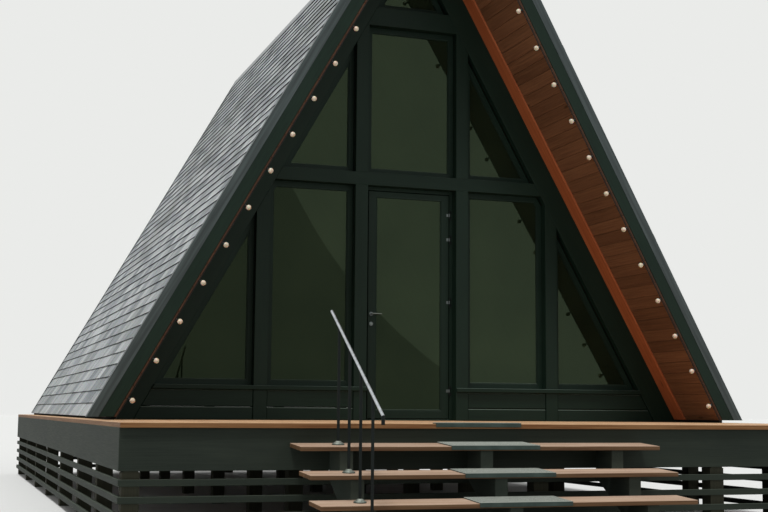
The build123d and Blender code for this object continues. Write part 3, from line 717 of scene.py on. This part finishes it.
easedNodes = {
    "main_beam": ("x", 0.003), "top_beam": ("x", 0.003), "back_beams": ("x", 0.003),
    "door_posts": ("z", 0.003), "outer_posts": ("z", 0.003), "upper_posts": ("z", 0.003), "back_posts": ("z", 0.003),
    "front_rafter_right": ("right", 0.003), "front_rafter_left": ("left", 0.003),
    "barge_board_right": ("right", 0.002), "barge_board_left": ("left", 0.002),
    "window_frames": ("x", 0.002), "back_window_frames": ("x", 0.002), "window_sills": ("x", 0.007),
    "door_frame": ("z", 0.0015), "door_leaf": ("z", 0.002), "threshold": ("x", 0.002),
}
easing = {"frame": 0.003, "trim": 0.002}

for node, (grain, width) in easedNodes.items():
    body = "door" if node == "door_leaf" else "cabin"
    finishPiece(node + "_timber", easeEdges(nodeCopy(node), width, 2), paints[grain], body, (node,))
for node, grain in {"rafters_right": "right", "rafters_left": "left", "ridge_board": "y"}.items():
    finishPiece(node + "_timber", easeEdges(nodeCopy(node), easing["frame"]), timbers[grain],
                replaced=(node,))
for label, side in roofSides.items():
    finishPiece("back_barge_board_" + label, easeEdges(halfOf("back_barge_boards", side), easing["trim"]),
                paints[label], replaced=("back_barge_boards",))
    finishPiece("gable_trim_" + label, easeEdges(halfOf("gable_trim_boards", side), easing["trim"]),
                trims[label], replaced=("gable_trim_boards",))
    finishPiece("verge_kerb_" + label, halfOf("verge_kerbs", side), timbers[label],
                replaced=("verge_kerbs",))
finishPiece("stair_carriages", easeEdges(nodeCopy("stair_stringers"), easing["frame"]), stringerTimber,
            replaced=("stair_stringers",))


def bandBoards(node):
    # Boards round the platform: those that run along X and those that run along Y, each with its own grain.
    for grain in ("x", "y"):
        bm, other = nodeCopy(node), []
        for island in islandsOf(bm):
            spans = [max(vert.co[axis] for vert in island) - min(vert.co[axis] for vert in island) for axis in (0, 1)]
            if (spans[0] > spans[1]) != (grain == "x"):
                other += island
        bmesh.ops.delete(bm, geom=other, context="VERTS")
        finishPiece(node + "_boards_" + grain, easeEdges(bm, easing["frame"], 2), skirts[grain],
                    replaced=(node,))


for node in ("fascia", "skirt_slats"):
    bandBoards(node)
print("stage: eased timbers")


# Treads, two boards each with a gap between them, and their mats

stairs = {
    "back": -2.835, "run": 0.2527, "top": 0.722, "rise": 0.182, "fall": 0.0625, "depth": 0.288, "count": 4,
    "boardGap": 0.004, "ease": 0.003, "seed": 41,
}
mats = {
    "thick": 0.008, "ease": 0.0025,
    "ribPitch": 0.012, "ribWidth": 0.006, "ribHeight": 0.002, "ribEase": 0.0008,
    "ribSeat": 0.0008,  # the middle of a rib over the mat
    "stepRibs": 23, "stepRibLength": 0.672, "stepMiddle": -0.504, "stepFirst": 0.012,
    "deckRibs": 6, "deckRibLength": 0.660, "deckMiddle": -0.529, "deckBack": -2.796, "deckFirst": 0.008,
}
treadNormal = Vector((0, -stairs["fall"], 1)).normalized()
treadForward = Vector((0, -1, -stairs["fall"]))
nextTread = Vector((0, -stairs["run"], -stairs["rise"]))


def treadPoint(place, forward, above=0.0):
    # The middle of a tread's width, the given distance in front of its back edge.
    start = Vector((0, stairs["back"] - stairs["run"] * place, stairs["top"] - stairs["rise"] * place))
    return start + treadForward * forward + treadNormal * above


def makeTreads():
    boards = []
    for place in range(stairs["count"]):
        middle = treadPoint(place, stairs["depth"] / 2)
        for outward in (front, back):
            bm, other = nodeCopy("stair_treads"), []
            for island in islandsOf(bm):
                height = sum(vert.co.z for vert in island) / len(island)
                if abs(height - middle.z) > stairs["rise"] / 2:
                    other += island
            bmesh.ops.delete(bm, geom=other, context="VERTS")
            cutOff(bm, middle + outward * stairs["boardGap"] / 2, -outward)
            boards.append(easeEdges(bm, stairs["ease"], 2))
    finishPiece("tread_boards", joinBoards(boards, stairs["seed"]), treadWood, replaced=("stair_treads",))


def makeMats():
    finishPiece("step_mats_rubber", easeEdges(nodeCopy("step_mats"), mats["ease"], 2), matRubber,
                replaced=("step_mats",))
    seat = mats["thick"] + mats["ribSeat"]
    steps = {"Columns": stairs["count"], "Rows": mats["stepRibs"], "Column Step": nextTread,
             "Row Step": treadForward * mats["ribPitch"],
             "First": treadPoint(0, mats["stepFirst"], seat) + right * mats["stepMiddle"]}
    deck = {"Rows": mats["deckRibs"], "Row Step": front * mats["ribPitch"],
            "First": Vector((mats["deckMiddle"], mats["deckBack"] - mats["deckFirst"], cabin["deckTop"] + seat))}
    for name, setup, length in (("step_mat_ribs", steps, mats["stepRibLength"]),
                                ("deck_mat_ribs", deck, mats["deckRibLength"])):
        rib = blockMesh((length, mats["ribWidth"], mats["ribHeight"]), mats["ribEase"])
        finishPiece(name, rowsOf(rib, matRubber, setup), matRubber)


makeTreads()
makeMats()
print("stage: treads and mats")


# Handrail: the tube, its hanging end, thin posts and cast flanges

rail = {
    "x": -1.641, "firstY": -2.979, "firstZ": 1.53408, "slope": 0.643,
    "radius": 0.011, "topReach": 0.194, "lowReach": 0.203, "sides": 32, "ease": 0.002,
    "mitreSpare": 0.02,  # cut off by the mitre
    "capLength": 0.055, "capRadius": 0.012,
    "postRadius": 0.0105, "postSides": 24, "flangeSides": 36, "footLift": 0.001,
    "screwRing": 0.034, "screwHeight": 0.0125, "screwTurns": (30, 150, 270),
}
flangeProfile = ((0.044, -0.003), (0.044, 0.005), (0.043, 0.007), (0.039, 0.0095), (0.032, 0.0135), (0.025, 0.0185),
                 (0.0195, 0.023), (0.0165, 0.0255), (0.0135, 0.026))


def railPoint(behind):
    # A point on the tube's axis, the given distance behind the first post.
    return Vector((rail["x"], rail["firstY"] + behind, rail["firstZ"] + rail["slope"] * behind))


def postFoot(place):
    return treadPoint(place, stairs["depth"] / 2) + Vector((rail["x"], 0, rail["footLift"]))


def makeRail():
    start = railPoint(rail["topReach"])
    end = railPoint(-rail["lowReach"] - stairs["run"] * (stairs["count"] - 1))
    tilt = (end - start).normalized()
    mitre = (tilt - up).normalized()
    tube = bar(start, end + tilt * rail["mitreSpare"], rail["radius"], rail["sides"], rail["ease"])
    finishPiece("handrail_tube", cutOff(toBmesh(tube), end, mitre), railSteel, replaced=("handrail",),
                smooth=True)
    cap = bar(end + up * rail["mitreSpare"], end - up * rail["capLength"], rail["capRadius"], rail["sides"],
              rail["ease"])
    finishPiece("handrail_hanging_end", cutOff(toBmesh(cap), end, -mitre), postEnamel,
                replaced=("handrail_cap",), smooth=True)
    posts, flanges = [], []
    for place in range(stairs["count"]):
        head = railPoint(-stairs["run"] * place) - up * rail["radius"] / 2
        posts.append(bar(postFoot(place), head, rail["postRadius"], rail["postSides"]))
        flanges.append(turnedMesh(flangeProfile, rail["flangeSides"], up, postFoot(place)))
    for name, meshes, material in (("rail_posts_enamelled", posts, postEnamel), ("rail_flanges", flanges, flangeZinc)):
        finishPiece(name, joinMeshes(meshes), material, replaced=("rail_posts",), smooth=True)


makeRail()
print("stage: handrail")


# Lever handles, covers and key cylinders on both faces of the leaf

handle = {
    "x": -0.3845, "z": 1.875, "lockZ": 1.779, "front": 0.100, "back": 0.145, "reach": 0.048, "leverStart": -0.3915,
    "neck": 0.006, "roseSides": 32, "leverSides": 20,
}
roseProfile = ((0.020, 0.0), (0.020, 0.0062), (0.0192, 0.0076), (0.017, 0.008), (0.009, 0.008), (0.0085, 0.010))
leverProfile = ((0.002, 0.0), (0.0045, 0.0008), (0.0062, 0.0025), (0.0068, 0.005), (0.0068, 0.070), (0.0066, 0.085),
                (0.0062, 0.099), (0.0048, 0.1025), (0.002, 0.104))
coverProfile = ((0.020, 0.0), (0.020, 0.0058), (0.0192, 0.0072), (0.017, 0.0076), (0.010, 0.0076))
keyProfile = ((0.0085, 0.0), (0.0085, 0.0098), (0.0078, 0.0106), (0.002, 0.0106))


def makeHandles():
    bright, dark = [], []
    for face, out in ((handle["front"], front), (handle["back"], back)):
        spindle, lock = Vector((handle["x"], face, handle["z"])), Vector((handle["x"], face, handle["lockZ"]))
        lever = Vector((handle["leverStart"], face + out.y * handle["reach"], handle["z"]))
        for profile, place in ((roseProfile, spindle), (coverProfile, lock)):
            dark.append(turnedMesh(profile, handle["roseSides"], out, place))
        for profile, axis, place in ((keyProfile, out, lock), (leverProfile, right, lever)):
            bright.append(turnedMesh(profile, handle["leverSides"], axis, place))
        bright.append(bar(spindle, spindle + out * handle["reach"], handle["neck"], handle["leverSides"]))
    for name, meshes, material in (("door_levers", bright, lockSteel), ("door_roses", dark, hingeSteel)):
        finishPiece(name, joinMeshes(meshes), material, "door", ("door_handle",), True)


makeHandles()
print("stage: handles")


# Light strings: cable, collared sockets, globes and clips

lights = {
    "first": 0.333, "pitch": 0.382, "count": 15, "offset": 0.015, "inset": 0.012, "seed": 51,
    "cableRadius": 0.004, "cableSides": 12, "socketSides": 16,
    "globeRadius": 0.0235, "globeSides": 20, "globeRings": 12,
    "neckRadius": 0.0085, "neckTurn": -67,  # degrees, from the globe's widest ring
    "globeSeat": 0.0195, "globeSunk": 0.92,
}
socketProfile = ((0.0055, 0.0), (0.0085, 0.0015), (0.009, 0.004), (0.009, 0.0125), (0.0102, 0.0135), (0.0102, 0.0165),
                 (0.009, 0.0175), (0.009, 0.020), (0.006, 0.0205))
clipProfile = ((0.0058, -0.005), (0.0058, 0.005))


def lampPoint(side, along):
    point = slopePoint(side, along, lights["offset"], 0)
    return Vector((point.x, vergeY(point.z, lights["inset"]), point.z))


def globeProfile():
    # A ball with a short neck that sits on its socket.
    radius, rings, turn = lights["globeRadius"], lights["globeRings"], lights["neckTurn"]
    middle = lights["globeSeat"] + radius * lights["globeSunk"]
    turns = [math.radians(turn + (90 - turn) * k / rings) for k in range(1, rings)]
    ball = [(radius * math.cos(angle), middle + radius * math.sin(angle)) for angle in turns]
    return [(lights["neckRadius"], lights["globeSeat"])] + ball


def makeLights():
    dark, sockets, globes, clips = [], [], [], []
    for side in roofSides.values():
        step = lampPoint(side, 1.0) - lampPoint(side, 0.0)
        inwards = -outOfSlope(side)
        head = lampPoint(side, lights["first"] - lights["pitch"] / 2)
        foot = lampPoint(side, lights["first"] + lights["pitch"] * (lights["count"] - 0.5))
        dark.append(bar(head, foot, lights["cableRadius"], lights["cableSides"]))
        row = {"Columns": lights["count"], "Seed": lights["seed"] + side, "First": lampPoint(side, lights["first"]),
               "Column Step": step * lights["pitch"]}
        sockets.append(rowsOf(turnedMesh(socketProfile, lights["socketSides"], inwards), lampBlack, row))
        globes.append(rowsOf(turnedMesh(globeProfile(), lights["globeSides"], inwards), globeGlass, row))
        between = {**row, "Columns": lights["count"] - 1,
                   "First": lampPoint(side, lights["first"] + lights["pitch"] / 2)}
        clips.append(rowsOf(turnedMesh(clipProfile, lights["cableSides"], step), lampBlack, between))
    finishPiece("light_cable_runs", joinMeshes(dark + sockets + clips), lampBlack,
                replaced=("light_cables",), smooth=True)
    finishPiece("light_globes_glass", joinMeshes(globes), globeGlass, replaced=("light_globes",), smooth=True)


makeLights()
print("stage: light strings")


# Glazing beads round every pane

beads = {"width": 0.011, "depth": 0.009, "ease": 0.002, "facing": 0.99}


def makeBeads(node, label, outward, body):
    # A mitred ring in front of each pane, drawn from the pane's own outline.
    panes, rings = nodeCopy(node), []
    for face in panes.faces:
        if face.normal.dot(outward) < beads["facing"]:
            continue
        bm = bmesh.new()
        whole = bm.faces.new([bm.verts.new(vert.co) for vert in face.verts])
        bm.normal_update()
        bmesh.ops.inset_region(bm, faces=[whole], thickness=beads["width"], use_boundary=True, use_even_offset=True)
        bmesh.ops.delete(bm, geom=[whole], context="FACES_ONLY")
        moved = bmesh.ops.extrude_face_region(bm, geom=bm.faces[:])
        verts = [item for item in moved["geom"] if isinstance(item, bmesh.types.BMVert)]
        bmesh.ops.translate(bm, vec=outward * beads["depth"], verts=verts)
        bmesh.ops.recalc_face_normals(bm, faces=bm.faces)
        rings.append(toMesh(easeEdges(bm, beads["ease"])))
    panes.free()
    finishPiece("glazing_beads_" + label, joinMeshes(rings), paints["x"], body)


for node, label, outward, body in (("lower_glass", "low", front, "cabin"), ("upper_glass", "high", front, "cabin"),
                                   ("back_glass", "back", back, "cabin"), ("door_glass", "door", front, "door")):
    makeBeads(node, label, outward, body)
print("stage: glazing beads")


# Screws: low domed heads in rows, with a shallow round recess in each

screws = {
    "sides": 10,
    "boards": 42, "boardEdge": 0.035, "boardScatter": (0.002, 0.003, 0), "boardSeed": 61,
    "joistRows": (-2.700, -2.1676, -1.5604, -0.9532, -0.0500), "ledgeRows": (7.2600, 7.5467, 8.0350),
    "nosingPitch": 0.596, "nosingCount": 11, "nosingRows": (0.035, 0.110), "nosingScatter": (0.004, 0.002, 0),
    "nosingSeed": 62,
    "stringers": (-1.612, -0.561, 0.490), "treadEdge": 0.028, "treadGapEdge": 0.03, "treadScatter": (0.004, 0, 0),
    "treadSeed": 63,
}
screwProfile = ((0.0046, -0.001), (0.0046, 0.0), (0.00368, 0.0006), (0.001656, 0.00072), (0.00138, -0.0004))


def screwRow(outward, first, step, count, scatter, seed):
    head = turnedMesh(screwProfile, screws["sides"], outward)
    return rowsOf(head, screwSteel, {"Columns": count, "Seed": seed, "First": first, "Column Step": step,
                                     "Scatter": scatter})


def makeScrews():
    pitch = (deckHigh.x - deckLow.x) / screws["boards"]
    rows = []
    for y in screws["joistRows"] + screws["ledgeRows"]:
        for edge in (screws["boardEdge"], pitch - screws["boardEdge"]):
            first = Vector((deckLow.x + edge, y, cabin["deckTop"]))
            rows.append(screwRow(up, first, right * pitch, screws["boards"], screws["boardScatter"],
                                 screws["boardSeed"]))
    nosingStart = -screws["nosingPitch"] * (screws["nosingCount"] - 1) / 2
    for edge, inwards in ((deckLow.y, 1), (deckHigh.y, -1)):
        for inset in screws["nosingRows"]:
            first = Vector((nosingStart, edge + inwards * inset, cabin["deckTop"]))
            rows.append(screwRow(up, first, right * screws["nosingPitch"], screws["nosingCount"],
                                 screws["nosingScatter"], screws["nosingSeed"]))
    middle = stairs["depth"] / 2
    forwards = (screws["treadEdge"], middle - screws["treadGapEdge"], middle + screws["treadGapEdge"],
                stairs["depth"] - screws["treadEdge"])
    for x in screws["stringers"]:
        for forward in forwards:
            first = treadPoint(0, forward) + right * x
            rows.append(screwRow(treadNormal, first, nextTread, stairs["count"], screws["treadScatter"],
                                 screws["treadSeed"]))
    finishPiece("board_screws", joinMeshes(rows), screwSteel)
    heads = []
    for place in range(stairs["count"]):
        for turn in rail["screwTurns"]:
            reach = Vector((math.cos(math.radians(turn)), math.sin(math.radians(turn)), 0)) * rail["screwRing"]
            heads.append(turnedMesh(screwProfile, screws["sides"], up,
                                    postFoot(place) + reach + up * rail["screwHeight"]))
    finishPiece("flange_screws", joinMeshes(heads), hingeSteel)


makeScrews()
print("stage: screws")


# Laps of the folded metal: a short sleeve over each joint between two sheets

laps = {"alongs": (1.95, 3.95), "length": 0.060, "thick": 0.0012,
        "ridgePitch": 2.0, "ridgePlaces": (-2, -1, 0, 1, 2), "ridgeHalf": 0.0739, "ridgeOffset": 0.085}


def makeRidgeLaps():
    # Folded over the ridge, from three rows of points, each with a lower and an upper pair.
    sheet = bmesh.new()
    for place in laps["ridgePlaces"]:
        y = cabin["length"] / 2 + laps["ridgePitch"] * place
        rows = []
        for x in (-laps["ridgeHalf"], 0.0, laps["ridgeHalf"]):
            for lift in (0.0, laps["thick"]):
                z = apexHeight - abs(x) * math.tan(slopeAngle) + (laps["ridgeOffset"] + lift) / math.cos(slopeAngle)
                rows += [sheet.verts.new((x, edge, z)) for edge in (y, y + laps["length"])]
        for first, second in ((0, 4), (4, 8)):
            a, b = rows[first:first + 4], rows[second:second + 4]
            for low, high in ((2, 3), (0, 1), (0, 2), (1, 3)):
                sheet.faces.new((a[low], a[high], b[high], b[low]))
        for end in (rows[:4], rows[8:]):
            sheet.faces.new((end[0], end[1], end[3], end[2]))
    bmesh.ops.recalc_face_normals(sheet, faces=sheet.faces)
    finishPiece("ridge_cap_laps", sheet, ridgeSteel)


def makeVergeLaps(side, label):
    # A thin sleeve round the front metal's outer and top faces, cut from a copy of the metal itself.
    pieces = []
    for along in laps["alongs"]:
        start = slopePoint(side, along, 0, 0)
        bm = cutOff(halfOf("verge_metal_front", side), start, -downSlope(side))
        cutOff(bm, start + downSlope(side) * laps["length"], downSlope(side))
        shift = outOfSlope(side) * laps["thick"] + front * laps["thick"]
        bmesh.ops.translate(bm, vec=shift, verts=bm.verts)
        pieces.append(toMesh(bm))
    finishPiece("verge_metal_laps_" + label, joinMeshes(pieces), edgeSteel)


makeRidgeLaps()
for label, side in roofSides.items():
    makeVergeLaps(side, label)
print("stage: laps of the metal")


# Materials of the nodes that stay

keptNodes = {
    "joists": timbers["x"], "bearers": timbers["y"], "piers": timbers["z"],
    "verge_metal_front": edgeSteel, "verge_metal_back": edgeSteel, "ridge_cap": ridgeSteel,
    "lower_glass": pane, "upper_glass": pane, "back_glass": pane, "door_glass": pane,
    "door_hinges": hingeSteel, "frame_hinges": postEnamel,
}
for node, material in keptNodes.items():
    cad = cadNodes[node]
    if not cad.material_slots:
        cad.data.materials.append(material)
    for each in cad.material_slots:
        each.material = material
print("stage: materials on the nodes")


# Floor, light and background

stageSetup = {
    "floor": "#d9dad8", "floorReach": 200, "floorHeight": -0.002,
    "background": "#eaebe9", "worldStrength": 0.45,
    "suns": (("key", (0.25, 0.35, -1.0), 2.4, 12), ("fill", (-0.6, 0.9, -0.35), 0.25, 40),
             ("side", (0.75, 0.55, -0.08), 0.35, 50)),  # name, direction, power, width in degrees
}


def addFloor(setup):
    bm = bmesh.new()
    bmesh.ops.create_grid(bm, x_segments=1, y_segments=1, size=setup["floorReach"])
    mesh = toMesh(bm)
    mesh.materials.append(shaded(newMaterial("floor_pale")[0], {"Roughness": 0.9, "Base Color": setup["floor"]}))
    floor = bpy.data.objects.new("floor", mesh)
    floor.location.z = setup["floorHeight"]
    bpy.context.scene.collection.objects.link(floor)


def addSun(name, direction, power, angle):
    lamp = bpy.data.lights.new(name, "SUN")
    lamp.energy = power
    lamp.angle = math.radians(angle)
    holder = bpy.data.objects.new(name, lamp)
    holder.rotation_mode = "QUATERNION"
    holder.rotation_quaternion = Vector(direction).to_track_quat("-Z", "Y")
    bpy.context.scene.collection.objects.link(holder)


def addWorld(setup):
    world = bpy.data.worlds.new("studio")
    bpy.context.scene.world = world
    world.use_nodes = True
    tree = world.node_tree
    tree.nodes.clear()
    path = addNode(tree, "ShaderNodeLightPath").outputs
    seen = addNode(tree, "ShaderNodeMath", {0: path["Is Camera Ray"], 1: path["Is Glossy Ray"]}, operation="ADD")
    seen = addNode(tree, "ShaderNodeMath", {0: seen, 1: path["Is Transmission Ray"]}, operation="ADD", use_clamp=True)
    light = addNode(tree, "ShaderNodeBackground", {"Color": (1, 1, 1, 1), "Strength": setup["worldStrength"]})
    shown = addNode(tree, "ShaderNodeBackground", {"Color": setup["background"], "Strength": 1.0})
    addNode(tree, "ShaderNodeOutputWorld", {0: addNode(tree, "ShaderNodeMixShader", {0: seen, 1: light, 2: shown})})


addFloor(stageSetup)
for sun in stageSetup["suns"]:
    addSun(*sun)
addWorld(stageSetup)
bpy.context.scene.view_settings.view_transform = "Standard"
print("stage: floor and light")

print("stage: finished")
